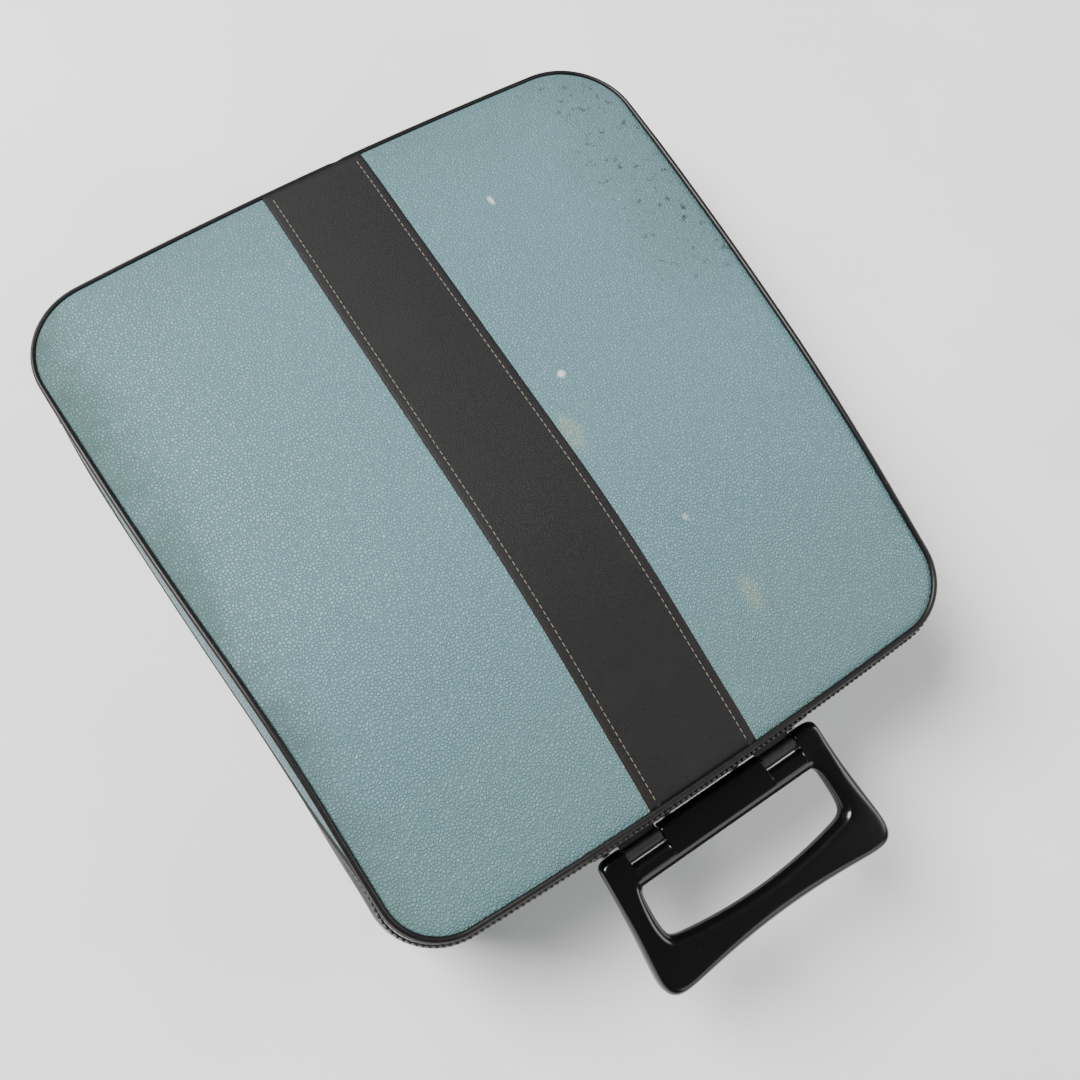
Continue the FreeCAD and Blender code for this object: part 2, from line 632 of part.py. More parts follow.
def paper_bail():
    """Rod held just in front of the platen's crown by two arms."""
    bar = rod_x(1.4, -117.5, 117.5, PLATEN_Y - 13.0, PLATEN_Z + 14.5)
    arm = [(PLATEN_Y - 14.5, PLATEN_Z + 13.0), (PLATEN_Y - 14.5, PLATEN_Z + 16.2),
           (PLATEN_Y - 10.0, PLATEN_Z + 17.4), (95.0, 91.6), (95.0, 89.4), (PLATEN_Y - 9.0, PLATEN_Z + 15.8)]
    arms = [plate_yz(arm, x0, x0 + 1.5) for x0 in (-121.9, 120.4)]
    hold = [rod_x(1.4, -121.9, -117.5, PLATEN_Y - 13.0, PLATEN_Z + 14.5),
            rod_x(1.4, 117.5, 121.9, PLATEN_Y - 13.0, PLATEN_Z + 14.5)]
    return bar.fuse(arms + hold)


def bail_rollers():
    rollers = [rod_x(2.7, x - 7, x + 7, PLATEN_Y - 13.0, PLATEN_Z + 14.5)
               .cut(rod_x(1.45, x - 9, x + 9, PLATEN_Y - 13.0, PLATEN_Z + 14.5)) for x in (-60, 60)]
    return Part.makeCompound(rollers)


def return_lever():
    """Carriage return lever, turning on an upright pin at the carriage's left end."""
    arm = box(-136.5, -129.5, 14.0, 66.0, 82.0, 84.0)
    arm = arm.fuse([rod_z(5.0, 82.0, 84.0, -133.0, 66.0), rod_z(4.2, 81.0, 86.0, -133.0, 17.0)])
    return arm.cut(rod_z(2.0 + SHAFT_CLEARANCE, 70, 95, -133.0, 66.0))


def lever_post():
    """Bracket and upright pin on the carriage for the return lever."""
    plate = box(-138.0, -126.0, 61.0, 71.0, 78.0, 81.8)
    post = rod_z(2.0, 81.8, 86.0, -133.0, 66.0)
    return plate.fuse(post)


def margin_rail():
    """Notched rail behind the carriage for the margin stops."""
    rail = box(-122.0, 122.0, 118.0, 121.0, 60.0, 68.0)
    hold = [box(x, x + 3.0, 112.0, 118.0, 56.0, 66.0) for x in (-122.0, 119.0)]
    return rail.fuse(hold)


def margin_stop(x):
    body = box(x - 6.0, x + 6.0, 116.5, 122.5, 58.5, 73.0)
    return body.cut(box(x - 9.0, x + 9.0, 117.95, 121.05, 59.95, 68.05))


def margin_stop_left():
    return margin_stop(-100.0)


def margin_stop_right():
    return margin_stop(100.0)


def mainspring_drum():
    """Spring drum that draws the carriage along, hung behind the casing's top."""
    drum = rod((0, 1, 0), 17.0, (-62.0, 124.0, 30.0), 12.0)
    return drum.fuse(rod((0, 1, 0), 4.0, (-62.0, 118.0, 30.0), 24.0))


def margin_bell():
    """Small bell that rings near the end of a line."""
    dome = Part.makeSphere(14.0, V(58.0, 128.0, 22.0)).cut(Part.makeSphere(12.8, V(58.0, 128.0, 22.0)))
    dome = dome.common(box(30, 90, 100, 150, 22.0, 60))
    return dome.fuse(rod_z(2.0, 10.2, 36.0, 58.0, 128.0))


def case_clips():
    """Sprung clips on the tray floor that hold the machine's pan at each side."""
    clip = box(146.6, 160.0, -40.0, -10.0, FLOOR_Z, FLOOR_Z + 1.2)
    clip = clip.fuse([box(149.2, 150.4, -32.0, -18.0, FLOOR_Z, 20.0)])
    return Part.makeCompound(both_sides(clip))


MACHINE_NODES = [machine_feet, machine_pan, body_casing, ribbon_cover, spool_posts, spool_left,
                 spool_right, ribbon_pack_left, ribbon_pack_right, ribbon, ribbon_guide, type_segment,
                 type_rest, typebars, shift_keys, shift_lock, space_bar, carriage_rail, carriage_frame,
                 platen, platen_shaft, platen_knobs, line_ratchet, paper_table, paper_bail, bail_rollers,
                 return_lever, lever_post, margin_rail, margin_stop_left, margin_stop_right,
                 mainspring_drum, margin_bell, case_clips]
CASE_NODES = [base_shell, base_lining, base_piping, lid_shell, lid_lining, lid_piping, lid_band,
              zip_tape_lid, zip_tape_base, zip_teeth_lid, zip_teeth_base, zip_stops, zip_slider,
              zip_pull, lid_hinge_strip, handle_bracket, bracket_rivets, handle, handle_pins]

os.makedirs("parts", exist_ok=True)
for make in CASE_NODES + MACHINE_NODES:
    make().exportStep("parts/" + make.__name__ + ".step")
for node, row_y, top_z, keys, first_x in KEY_ROWS:
    key_row(row_y, top_z, keys, first_x).exportStep("parts/" + node + ".step")
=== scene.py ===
import math
import bpy
import numpy as np
from mathutils import Matrix, Vector


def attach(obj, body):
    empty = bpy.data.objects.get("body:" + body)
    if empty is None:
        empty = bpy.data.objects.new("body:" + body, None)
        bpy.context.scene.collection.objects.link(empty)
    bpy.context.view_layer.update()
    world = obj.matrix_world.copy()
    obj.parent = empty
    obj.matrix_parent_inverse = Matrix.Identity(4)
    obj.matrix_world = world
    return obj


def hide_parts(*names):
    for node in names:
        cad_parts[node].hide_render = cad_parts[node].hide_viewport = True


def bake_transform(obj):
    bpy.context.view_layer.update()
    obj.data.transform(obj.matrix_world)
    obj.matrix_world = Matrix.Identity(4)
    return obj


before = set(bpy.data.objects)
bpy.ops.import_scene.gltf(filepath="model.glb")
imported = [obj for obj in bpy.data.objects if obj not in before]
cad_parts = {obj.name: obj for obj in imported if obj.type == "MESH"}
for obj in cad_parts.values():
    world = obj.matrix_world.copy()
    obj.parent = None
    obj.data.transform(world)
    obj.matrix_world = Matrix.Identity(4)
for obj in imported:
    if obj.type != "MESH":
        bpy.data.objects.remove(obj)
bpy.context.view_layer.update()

# --- Table, lamps and camera -------------------------------------------------------------------
# The case lies on its tray on a plain pale table top. A large soft lamp stands high off the hinge
# end, two weaker ones fill from the -X side and from the handle end, and the camera looks almost
# straight down.

MM = 0.001


class Wire:
    """A number running between shader nodes: + - * / and ** on it add Math nodes."""

    def __init__(self, finish, socket):
        self.finish, self.socket = finish, socket

    def maths(self, operation, *terms):
        return self.finish.add("Math", {"operation": operation}, dict(enumerate(terms)))

    def __add__(self, other):
        return self.maths("ADD", self, other)

    def __sub__(self, other):
        return self.maths("SUBTRACT", self, other)

    def __rsub__(self, other):
        return self.maths("SUBTRACT", other, self)

    def __mul__(self, other):
        return self.maths("MULTIPLY", self, other)

    def __truediv__(self, other):
        return self.maths("DIVIDE", self, other)

    def __pow__(self, other):
        return self.maths("POWER", self, other)

    __radd__, __rmul__ = __add__, __mul__


class Finish:
    """One material, with a Principled shader; its other nodes come from add()."""

    def __init__(self, name, colour, roughness, **sockets):
        self.material = bpy.data.materials.new(name)
        self.material.use_nodes = True
        self.tree = self.material.node_tree
        self.shader = self.tree.nodes["Principled BSDF"]
        sockets.update({"Base Color": (*colour, 1), "Roughness": roughness})
        for socket, value in sockets.items():
            self.feed(socket.replace("_", " "), value)
        self.place = self.add("TexCoord", out="Object")

    def add(self, kind, settings={}, inputs={}, out=0):
        """A new node with these settings and inputs; gives back its output as a Wire."""
        node = self.tree.nodes.new("ShaderNode" + kind)
        for key, value in settings.items():
            setattr(node, key, value)
        for key, value in inputs.items():
            self.join(node.inputs[key], value)
        return Wire(self, node.outputs[out])

    def join(self, socket, value):
        if isinstance(value, Wire):
            self.tree.links.new(value.socket, socket)
        else:
            socket.default_value = value

    def feed(self, socket, value):
        self.join(self.shader.inputs[socket], value)

    def mix(self, factor, one, other):
        """Colour from one to other as factor goes from 0 to 1."""
        return self.add("Mix", {"data_type": "RGBA", "clamp_factor": True},
                        {0: factor, 6: one, 7: other}, 2)

    def cloud(self, scale, detail=2.0, roughness=0.5):
        """Soft noise from 0 to 1, with scale swells to the metre."""
        return self.add("TexNoise", {}, {"Vector": self.place, "Scale": scale,
                                         "Detail": detail, "Roughness": roughness})

    def place_along(self, axis):
        """The object coordinate on one axis, 0 for X to 2 for Z, in metres."""
        return self.add("SeparateXYZ", {}, {0: self.place}, axis)

    def between(self, value, low, high):
        """0 below low, 1 above high, and an eased climb t * t * (3 - 2 * t) between."""
        return self.add("MapRange", {"interpolation_type": "SMOOTHSTEP"},
                        {"Value": value, "From Min": low, "From Max": high})

    def relief(self, height, depth, strength=1.0):
        """Bump from a height of 0 to 1, depth metres tall."""
        self.feed("Normal", self.add("Bump", {}, {"Height": height, "Distance": depth,
                                                  "Strength": strength}))


table_finish = Finish("table_top", (0.80, 0.80, 0.79), 0.62)
grime = table_finish.cloud(7.0, 4.0)
table_finish.feed("Base Color", table_finish.mix(table_finish.between(grime, 0.3, 0.75),
                                                 (0.79, 0.785, 0.775, 1), (0.83, 0.83, 0.825, 1)))
table_finish.relief(table_finish.cloud(420.0, 3.0), 0.0001, 0.25)

table_mesh = bpy.data.meshes.new("table_top")
table_mesh.from_pydata([(-3, -3, 0), (3, -3, 0), (3, 3, 0), (-3, 3, 0)], [], [(0, 1, 2, 3)])
table_mesh.materials.append(table_finish.material)
table_top = bpy.data.objects.new("table_top", table_mesh)
bpy.context.collection.objects.link(table_top)

world = bpy.data.worlds.new("studio")
bpy.context.scene.world = world
world.use_nodes = True
world.node_tree.nodes["Background"].inputs["Color"].default_value = (0.95, 0.97, 1.0, 1)
world.node_tree.nodes["Background"].inputs["Strength"].default_value = 0.13


def lamp(name, place, aim, size, watts, colour=(1, 1, 1)):
    """A square soft lamp at place, facing aim, all in metres."""
    light = bpy.data.lights.new(name, "AREA")
    light.size, light.energy, light.color = size, watts, colour
    holder = bpy.data.objects.new(name, light)
    holder.location = place
    holder.rotation_euler = (Vector(aim) - Vector(place)).to_track_quat("-Z", "Y").to_euler()
    bpy.context.collection.objects.link(holder)


lamp("key_lamp", (1.30, -1.90, 2.50), (0, 0, 0.05), 1.7, 320.0, (1.0, 0.99, 0.97))
lamp("right_lamp", (-2.30, 0.60, 1.90), (0, 0, 0.05), 1.8, 55.0)
lamp("near_lamp", (-0.60, 2.60, 1.50), (0, 0, 0.05), 1.8, 26.0)

camera_data = bpy.data.cameras.new("camera")
camera_data.sensor_width = 36.0
camera_data.lens = 1.0787963 * camera_data.sensor_width
camera_data.clip_start = 0.01
camera = bpy.data.objects.new("camera", camera_data)
camera_place = (0.16175, 0.08351, 0.65863)
look = Vector((-0.25984, -0.06776, -0.96327)).normalized()
side = look.cross(Vector((-0.49019, -0.8502, 0.19203))).normalized()
turned = Matrix((side, side.cross(look), -look)).transposed().to_4x4()
camera.matrix_world = Matrix.Translation(camera_place) @ turned
bpy.context.collection.objects.link(camera)
bpy.context.scene.camera = camera

# --- Tray of the case --------------------------------------------------------------------------
# The lower half of the case: fibreboard bent to a rounded outline with slightly bellied walls,
# low at the hinge end and high at the handle end, covered in teal pebble-grained leathercloth.

half_width, half_length = 182.0, 197.0
side_radius, side_widest_y, end_radius = 8000.0, -140.0, 3000.0
front_corner, rear_corner = 43.0, 42.0
board, cloth_lining = 3.0, 1.0
corner_columns, side_columns, end_columns = 22, 70, 60
rounds = 14


def curve_through(points):
    """Natural cubic through (x, y) points; bends come from the usual three-term equations."""
    x, y = np.array(points, float).T
    gap = np.diff(x)
    rows = np.eye(len(x))
    right = np.zeros(len(x))
    for i in range(1, len(x) - 1):
        rows[i, i - 1:i + 2] = gap[i - 1], 2 * (gap[i - 1] + gap[i]), gap[i]
        right[i] = 6 * ((y[i + 1] - y[i]) / gap[i] - (y[i] - y[i - 1]) / gap[i - 1])
    bend = np.linalg.solve(rows, right)

    def value(at):
        k = np.clip(np.searchsorted(x, at) - 1, 0, len(x) - 2)
        d, h = at - x[k], gap[k]
        slope = (y[k + 1] - y[k]) / h - h * (2 * bend[k] + bend[k + 1]) / 6
        return y[k] + d * slope + d * d * bend[k] / 2 + d ** 3 * (bend[k + 1] - bend[k]) / (6 * h)
    return value


wall_inset = curve_through([(0, 16), (5, 8), (15, 3), (45, 0), (65, 2), (82, 5.2), (98, 10),
                            (112, 15.2)])


def meet(a, ra, b, rb, way):
    """Where circles about a and b cross, on one side of the line between them."""
    dx, dy = b[0] - a[0], b[1] - a[1]
    far = math.hypot(dx, dy)
    along = (ra * ra - rb * rb + far * far) / (2 * far)
    off = way * math.sqrt(ra * ra - along * along)
    return (a[0] + (along * dx - off * dy) / far, a[1] + (along * dy + off * dx) / far)


def case_outline():
    """Columns (centre x, centre y, radius, angle) round the case, anticlockwise from the front
    right. A point of the outline is its centre plus radius times (cos, sin) of its angle."""
    flank = (half_width - side_radius, side_widest_y)
    front, rear = (0.0, end_radius - half_length), (0.0, half_length - end_radius)
    cf = meet(flank, side_radius - front_corner, front, end_radius - front_corner, -1)
    cr = meet(flank, side_radius - rear_corner, rear, end_radius - rear_corner, 1)
    turn = lambda c, p: math.atan2(p[1] - c[1], p[0] - c[0])
    a0, a1, b0, b1 = turn(front, cf), turn(flank, cf), turn(flank, cr), turn(rear, cr)
    right = [(cf, front_corner, a0, a1, corner_columns), (flank, side_radius, a1, b0, side_columns),
             (cr, rear_corner, b0, b1, corner_columns)]
    left = [((-c[0], c[1]), r, math.pi - e, math.pi - s, n) for c, r, s, e, n in reversed(right)]
    arcs = right + [(rear, end_radius, b1, math.pi - b1, end_columns)] + left
    arcs.append((front, end_radius, -math.pi - a0, a0, end_columns))
    return np.vstack([np.column_stack([
        np.full(n, c[0]), np.full(n, c[1]), np.full(n, r), np.linspace(s, e, n, endpoint=False)])
        for c, r, s, e, n in arcs])


front_top, ridge, rear_top, ridge_radius = (-195.0, 58.0), (60.0, 105.0), (195.0, 98.0), 400.0


def lid_top(y):
    """Height of the top panel: a straight rise, an arc of ridge_radius, and a straight fall."""
    up = math.atan2(ridge[1] - front_top[1], ridge[0] - front_top[0])
    down = math.atan2(rear_top[1] - ridge[1], rear_top[0] - ridge[0])
    cut = ridge_radius * math.tan((up - down) / 2)
    cy = ridge[0] - cut * math.cos(up) + ridge_radius * math.sin(up)
    cz = ridge[1] - cut * math.sin(up) - ridge_radius * math.cos(up)
    arc = cz + np.sqrt(np.maximum(ridge_radius ** 2 - (y - cy) ** 2, 0))
    rise = ridge[1] + (y - ridge[0]) * math.tan(up)
    fall = ridge[1] + (y - ridge[0]) * math.tan(down)
    return np.where(y < cy - ridge_radius * math.sin(up), rise,
                    np.where(y > cy - ridge_radius * math.sin(down), fall, arc))


def wall(z, grow=0.0, columns=None):
    """Points of the case wall at height z, moved outwards by grow, one per column. The inset is
    eased to stay above its floor: floor + s * log(1 + exp((inset - floor) / s)), s = floor_ease."""
    columns = outline if columns is None else columns
    z = np.broadcast_to(z, columns.shape[:1]).astype(float)
    floor = columns[:, 4]
    inset = floor + floor_ease * np.logaddexp(0, (wall_inset(z) - floor) / floor_ease)
    reach = columns[:, 2] - inset + grow
    return np.column_stack([columns[:, 0] + reach * np.cos(columns[:, 3]),
                            columns[:, 1] + reach * np.sin(columns[:, 3]), z])


def lid_rim(drop=0.0, grow=0.0):
    """The edge where the top panel, lowered by drop, meets the wall, moved outwards by grow."""
    z = np.full(len(outline), 80.0)
    for _ in range(rounds):
        z = lid_top(wall(z, grow)[:, 1]) - drop
    return wall(z, grow)


# The fifth column is the floor of the inset. It starts too low to matter; then it becomes the
# inset at the rim less the reach, which is how far the wall may stand outside its own rim.
floor_ease, no_floor = 0.8, -99.0
outline = np.column_stack([case_outline(), np.full(len(case_outline()), no_floor)])
front_reach, side_reach, rear_reach = 3.4, 5.2, 8.0
back_wall = np.clip(np.sin(outline[:, 3]), 0, 1) ** 8
outline[:, 4] = wall_inset(lid_rim()[:, 2]) - (rear_reach - side_reach) * back_wall - np.interp(
    lid_rim()[:, 1], [-90, 30], [front_reach, side_reach])


zip_bends = [(-210, 11), (-172, 14), (140, 90), (210, 90)]


def zip_height(y):
    """Height of the zip along the case: low at the hinge, a straight climb, level at the handle
    end, each bend softened by the mean of seven places 3 mm apart."""
    spread = np.linspace(-9, 9, 7)
    return np.interp(np.add.outer(y, spread), *zip(*zip_bends)).mean(axis=-1)


groove_deep, groove_spread = 2.8, 6.0


def ease(t):
    """0 to 1 with a level start and end: t * t * (3 - 2 * t), with t held within 0 to 1."""
    t = np.clip(t, 0, 1)
    return t * t * (3 - 2 * t)


def groove(y):
    """How deep the zip lies between the swelling walls: only along the high part of the sides."""
    return groove_deep * ease((y + 130.0) / 90.0) * (1 - ease((y - 140.0) / 32.0))


def wall_at_zip(offset, grow=0.0, columns=outline):
    """The wall's points at a height offset above the zip, by rounds of substitution."""
    z = np.full(len(columns), 50.0)
    for _ in range(rounds):
        z = zip_height(wall(z, grow, columns)[:, 1]) + offset
    sunk = groove(wall(z, grow, columns)[:, 1]) * np.exp(-(offset / groove_spread) ** 2)
    return wall(z, grow - sunk, columns)


zip_line = wall_at_zip(0.0)


def shell(z, grow=0.0):
    """The wall with the shallow groove that the zip lies in."""
    sunk = groove(zip_line[:, 1]) * np.exp(-((z - zip_line[:, 2]) / groove_spread) ** 2)
    return wall(z, grow - sunk)


def quads_over(index):
    """The quads between neighbouring rows and columns of a grid of point numbers."""
    corners = [index[:-1, :-1], index[:-1, 1:], index[1:, 1:], index[1:, :-1]]
    return np.stack(corners, -1).reshape(-1, 4)


def piece_from(name, points, faces, ride, finish, smooth=True):
    """A finished piece from points in millimetres and faces, riding a body if one is named."""
    mesh = bpy.data.meshes.new(name)
    mesh.from_pydata((points * MM).tolist(), [], faces)
    mesh.materials.append(finish.material)
    mesh.polygons.foreach_set("use_smooth", np.full(len(faces), smooth))
    piece = bpy.data.objects.new(name, mesh)
    bpy.context.collection.objects.link(piece)
    if ride:
        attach(piece, ride)
    return piece


def skin(name, grid, ride, finish, ring=False):
    """Mesh over a grid of points (rows, columns, 3) in millimetres, joined with quads. Every row
    closes on itself. ring joins the last row to the first; without it, each end row closes onto
    a pole at its middle."""
    grid = np.asarray(grid, float)
    rows, columns = grid.shape[:2]
    points = [grid.reshape(-1, 3)]
    index = np.arange(rows * columns).reshape(rows, columns)
    if ring:
        index = np.vstack([index, index[:1]])
    index = np.hstack([index, index[:, :1]])
    faces = quads_over(index).tolist()
    if not ring:
        for end, row in ((0, index[0][::-1]), (-1, index[-1])):
            pole = sum(len(p) for p in points)
            points.append(grid[end].mean(axis=0)[None])
            faces += [(a, b, pole) for a, b in zip(row[:-1].tolist(), row[1:].tolist())]
    points = np.vstack(points)
    a, b, c = (points[[face[k] for face in faces]] for k in range(3))
    if np.einsum("ij,ij->i", a, np.cross(b, c)).sum() < 0:
        faces = [tuple(reversed(f)) for f in faces]
    return piece_from(name, points, faces, ride, finish)


def leathercloth(name, light, dark, pebble=1.7, depth=0.00042):
    """Embossed leathercloth: pebbles this many millimetres across, with the valleys between them
    coloured darker as painted shade besides their bump relief, a finer grain on top and slightly
    darker patches.
    Gives back the finish, its colour and the valleys, for what is laid over them."""
    cloth = Finish(name, light, 0.5)
    wander = cloth.add("TexNoise", {}, {"Vector": cloth.place, "Scale": 260.0, "Detail": 1.0},
                       "Color")
    bent = cloth.add("Mix", {"data_type": "VECTOR"}, {0: 0.0007, 4: cloth.place, 5: wander}, 1)
    edges = cloth.add("TexVoronoi", {"feature": "DISTANCE_TO_EDGE"},
                      {"Vector": bent, "Scale": 1000.0 / pebble, "Randomness": 0.9}, "Distance")
    valleys = 1 - cloth.between(edges, 0.0, 0.24)
    fine = cloth.cloud(2600.0, 2.0)
    patches = cloth.cloud(11.0, 4.0, 0.6)
    # Painted shade: the valleys' colour is mixed towards dark, as if shaded in their recesses.
    grain = cloth.mix(valleys * 0.6, (*light, 1), (*dark, 1))
    tone = cloth.mix(cloth.between(patches, 0.35, 0.7) * 0.22, grain,
                     (*[c * 0.86 for c in light], 1))
    cloth.feed("Base Color", tone)
    cloth.feed("Roughness", 0.40 + valleys * 0.25 + patches * 0.08)
    cloth.relief(1 - valleys * 0.85 + fine * 0.16, depth, 0.9)
    return cloth, tone, valleys


# The second teal is the valley colour, painted shade for the grain's recesses.
teal_light, teal_valley_shade = (0.108, 0.208, 0.234), (0.036, 0.082, 0.094)
teal = leathercloth("teal_leathercloth", teal_light, teal_valley_shade)[0]

# The lips stand apart under the zip and the cloth hinge, and close up round the front corners.
beyond_zip = np.clip((-140.0 - zip_line[:, 1]) / 5.5, 0, 1)
beyond_hinge = np.clip((np.abs(zip_line[:, 0]) - 120.0) / 6.0, 0, 1)
lip_gap = 3.5 - 3.2 * beyond_zip * beyond_hinge
tray_lip = wall_at_zip(-lip_gap)
climb = np.linspace(0, 1, 30) ** 1.3
tray_rows = [wall(0.0, -20.0 * k) for k in (6.0, 3.0, 1.0, 0.35)]
tray_rows += [shell(tray_lip[:, 2] * k) for k in climb]
tray_rows += [shell(tray_lip[:, 2] + 0.5, -0.8), shell(tray_lip[:, 2] + 0.5, -2.2)]
tray_rows += [shell(tray_lip[:, 2] * (1 - k) + board * k, -board) for k in np.linspace(0, 1, 12)]
tray_rows += [wall(board, -30.0 * k) for k in (1.0, 3.0)]
tray = skin("case_tray", tray_rows, "case_base", teal)
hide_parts("base_shell")

# --- Tray lining -------------------------------------------------------------------------------
# Dark flocked cloth glued inside the tray, from the floor up to just under its lip.

lining_finish = Finish("lining_cloth", (0.055, 0.055, 0.06), 0.95, Sheen_Weight=0.4)
nap = lining_finish.cloud(1500.0, 3.0)
lining_finish.feed("Base Color", lining_finish.mix(nap, (0.04, 0.04, 0.045, 1),
                                                   (0.085, 0.085, 0.09, 1)))
lining_finish.relief(nap, 0.0002, 0.6)

# How far the lining's back and its face lie inside the outer surface of the case.
glue = 0.05
under, over = board + glue, board + cloth_lining
lining_rows = [wall(under, -90.0), wall(under, -board - 6.0)]
lining_rows += [wall(tray_lip[:, 2] * k + under * (1 - k), -under) for k in np.linspace(0, 1, 10)]
lining_rows += [wall(tray_lip[:, 2] * (1 - k) + over * k, -over) for k in np.linspace(0, 1, 10)]
lining_rows += [wall(over, -20.0), wall(over, -90.0)]
tray_lining = skin("case_tray_lining", lining_rows, "case_base", lining_finish)
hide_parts("base_lining")

# --- Lid ---------------------------------------------------------------------------------------
# The upper half: the same board and teal cloth, with a top panel that rises from the hinge end to
# a soft ridge near the handle and is drawn down a little where it is sewn into the welt.

def sewn_dip(x, y, rim_x, rim_y):
    """How far the cloth is drawn down at the welt and how it swells a little further in."""
    gap = np.hypot(rim_x - x, rim_y - y)
    return -1.3 * np.exp(-gap / 4.0) + 0.35 * np.exp(-((gap - 22.0) / 14.0) ** 2)


rim = lid_rim()
panel_rows = []
for share in (0.002, 0.1, 0.25, 0.4, 0.55, 0.68, 0.78, 0.85, 0.9, 0.935, 0.955, 0.97, 0.98, 0.988,
              0.995, 1.0):
    x, y = rim[:, 0] * share, rim[:, 1] * share
    panel_rows.append(np.column_stack([x, y, lid_top(y) + sewn_dip(x, y, rim[:, 0], rim[:, 1])]))
lid_lip = wall_at_zip(lip_gap)
lid_rows = panel_rows + [shell((rim[:, 2] - 1.5) * (1 - k) + lid_lip[:, 2] * k)
                         for k in np.linspace(0, 1, 26)]
lid_rows += [shell(lid_lip[:, 2] - 0.4, -0.8), shell(lid_lip[:, 2] - 0.4, -2.2)]
inner_rim = lid_rim(board, -board)
lid_rows += [wall(lid_lip[:, 2] * (1 - k) + inner_rim[:, 2] * k, -board)
             for k in np.linspace(0, 1, 12)]
for share in (0.97, 0.8, 0.6, 0.4, 0.2, 0.002):
    x, y = inner_rim[:, 0] * share, inner_rim[:, 1] * share
    lid_rows.append(np.column_stack([x, y, lid_top(y) - board]))

lid_finish, lid_tone, lid_valleys = leathercloth("worn_teal_leathercloth", teal_light, teal_valley_shade)
across, along = lid_finish.place_along(0), lid_finish.place_along(1)
wander = lid_finish.cloud(34.0, 5.0, 0.65)
speckle = lid_finish.cloud(1150.0, 2.0, 0.6)
facing = lid_finish.add("SeparateXYZ", {}, {0: lid_finish.add("TexCoord", out="Normal")}, 2)
on_top = lid_finish.between(facing, 0.5, 0.85)
left_edge = lid_finish.between(across + wander * 0.05, 0.165, 0.205) * on_top
hinge_end = lid_finish.between(0 - along + wander * 0.05, 0.16, 0.24)
# Painted shade: a mask over the lid past its ridge towards the handle end, where the top slopes away
# from the key lamp.
handle_end_shade = lid_finish.between(along + wander * 0.03, 0.07, 0.22)
soil = left_edge * 0.8 + hinge_end * 0.35
tone = lid_finish.mix(soil, lid_tone, (0.052, 0.092, 0.086, 1))
lid_finish.feed("Roughness", 0.40 + lid_valleys * 0.25 + left_edge * 0.35)
# Painted shade: the lid's colour is darkened over the handle end, standing in for the shade where the
# top slopes away from the lamp.
tone = lid_finish.mix(handle_end_shade * 0.55, tone, (0.080, 0.145, 0.140, 1))


def spot(x, y, size, stretch=1.0):
    """Mask of a soft-edged mark at x, y in metres, size metres across and stretched along Y."""
    dx, dy = across - x, (along - y) / stretch
    far = (dx * dx + dy * dy) ** 0.5 + (wander - 0.5) * size * 1.2
    return 1 - lid_finish.between(far, size * 0.25, size * 0.75)


yellowing = spot(-0.0345, 0.004, 0.009, 2.6) * 0.5 + spot(-0.069, 0.121, 0.008, 2.4) * 0.4
tone = lid_finish.mix(yellowing * lid_finish.between(speckle, 0.3, 0.6), tone, (0.24, 0.28, 0.15, 1))
whitening = spot(-0.049, -0.026, 0.0042) * 0.85 + spot(-0.075, -0.134, 0.0026, 2.0) * 0.6
whitening = whitening + spot(-0.060, 0.072, 0.003) * 0.35
tone = lid_finish.mix(whitening, tone, (0.62, 0.64, 0.57, 1))
right_edge = lid_finish.between(0 - across + wander * 0.04, 0.13, 0.18)
scuffed = on_top * right_edge * lid_finish.between(0 - along, 0.0, 0.07)
scratches = lid_finish.between(lid_finish.cloud(190.0, 6.0, 0.75), 0.57, 0.63)
tone = lid_finish.mix(scuffed * 0.35, tone, (0.060, 0.098, 0.096, 1))
tone = lid_finish.mix(scuffed * scratches, tone, (0.030, 0.040, 0.040, 1))
flecks = lid_finish.between(lid_finish.cloud(330.0, 3.0, 0.7), 0.67, 0.71)
tone = lid_finish.mix(flecks * 0.5, tone, (0.06, 0.10, 0.105, 1))
lid_finish.feed("Base Color", tone)
lid = skin("case_lid", lid_rows, "lid", lid_finish)
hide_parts("lid_shell")

# --- Lid lining --------------------------------------------------------------------------------
# The same flocked cloth glued inside the lid.

back = [wall(lid_lip[:, 2] * (1 - k) + (inner_rim[:, 2] - 0.2) * k, -under)
        for k in np.linspace(0, 1, 10)]
ceiling = lid_rim(over, -over)
face = [wall(ceiling[:, 2] * (1 - k) + lid_lip[:, 2] * k, -over) for k in np.linspace(0, 1, 10)]


def ceiling_row(edge, share, drop):
    """A ring of the lid's ceiling, share of the way from its middle to edge, drop under the top."""
    y = edge[:, 1] * share
    return np.column_stack([edge[:, 0] * share, y, lid_top(y) - drop])


lid_lining_rows = [ceiling_row(inner_rim, k, under) for k in (0.002, 0.25, 0.5, 0.75, 0.98)]
lid_lining_rows += back[::-1] + face[::-1]
lid_lining_rows += [ceiling_row(ceiling, k, over) for k in (0.98, 0.75, 0.5, 0.25, 0.002)]
lid_lining = skin("case_lid_lining", lid_lining_rows, "lid", lining_finish)
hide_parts("lid_lining")

# --- Welts -------------------------------------------------------------------------------------
# Black vinyl piping sewn into the seam round the lid's top panel, its two ends butted together
# near the middle of the hinge end, and a thinner one round the bottom edge of the tray.

welt_finish = Finish("welt_vinyl", (0.006, 0.0055, 0.0055), 0.42, Specular_IOR_Level=0.3)
rub = welt_finish.cloud(300.0, 3.0, 0.7)
welt_finish.feed("Base Color", welt_finish.mix(
    welt_finish.between(rub, 0.55, 0.8), (0.0045, 0.004, 0.004, 1), (0.022, 0.016, 0.013, 1)))
welt_finish.feed("Roughness", 0.3 + rub * 0.25)
welt_finish.relief(rub + welt_finish.cloud(900.0, 2.0) * 0.5, 0.0001, 0.35)


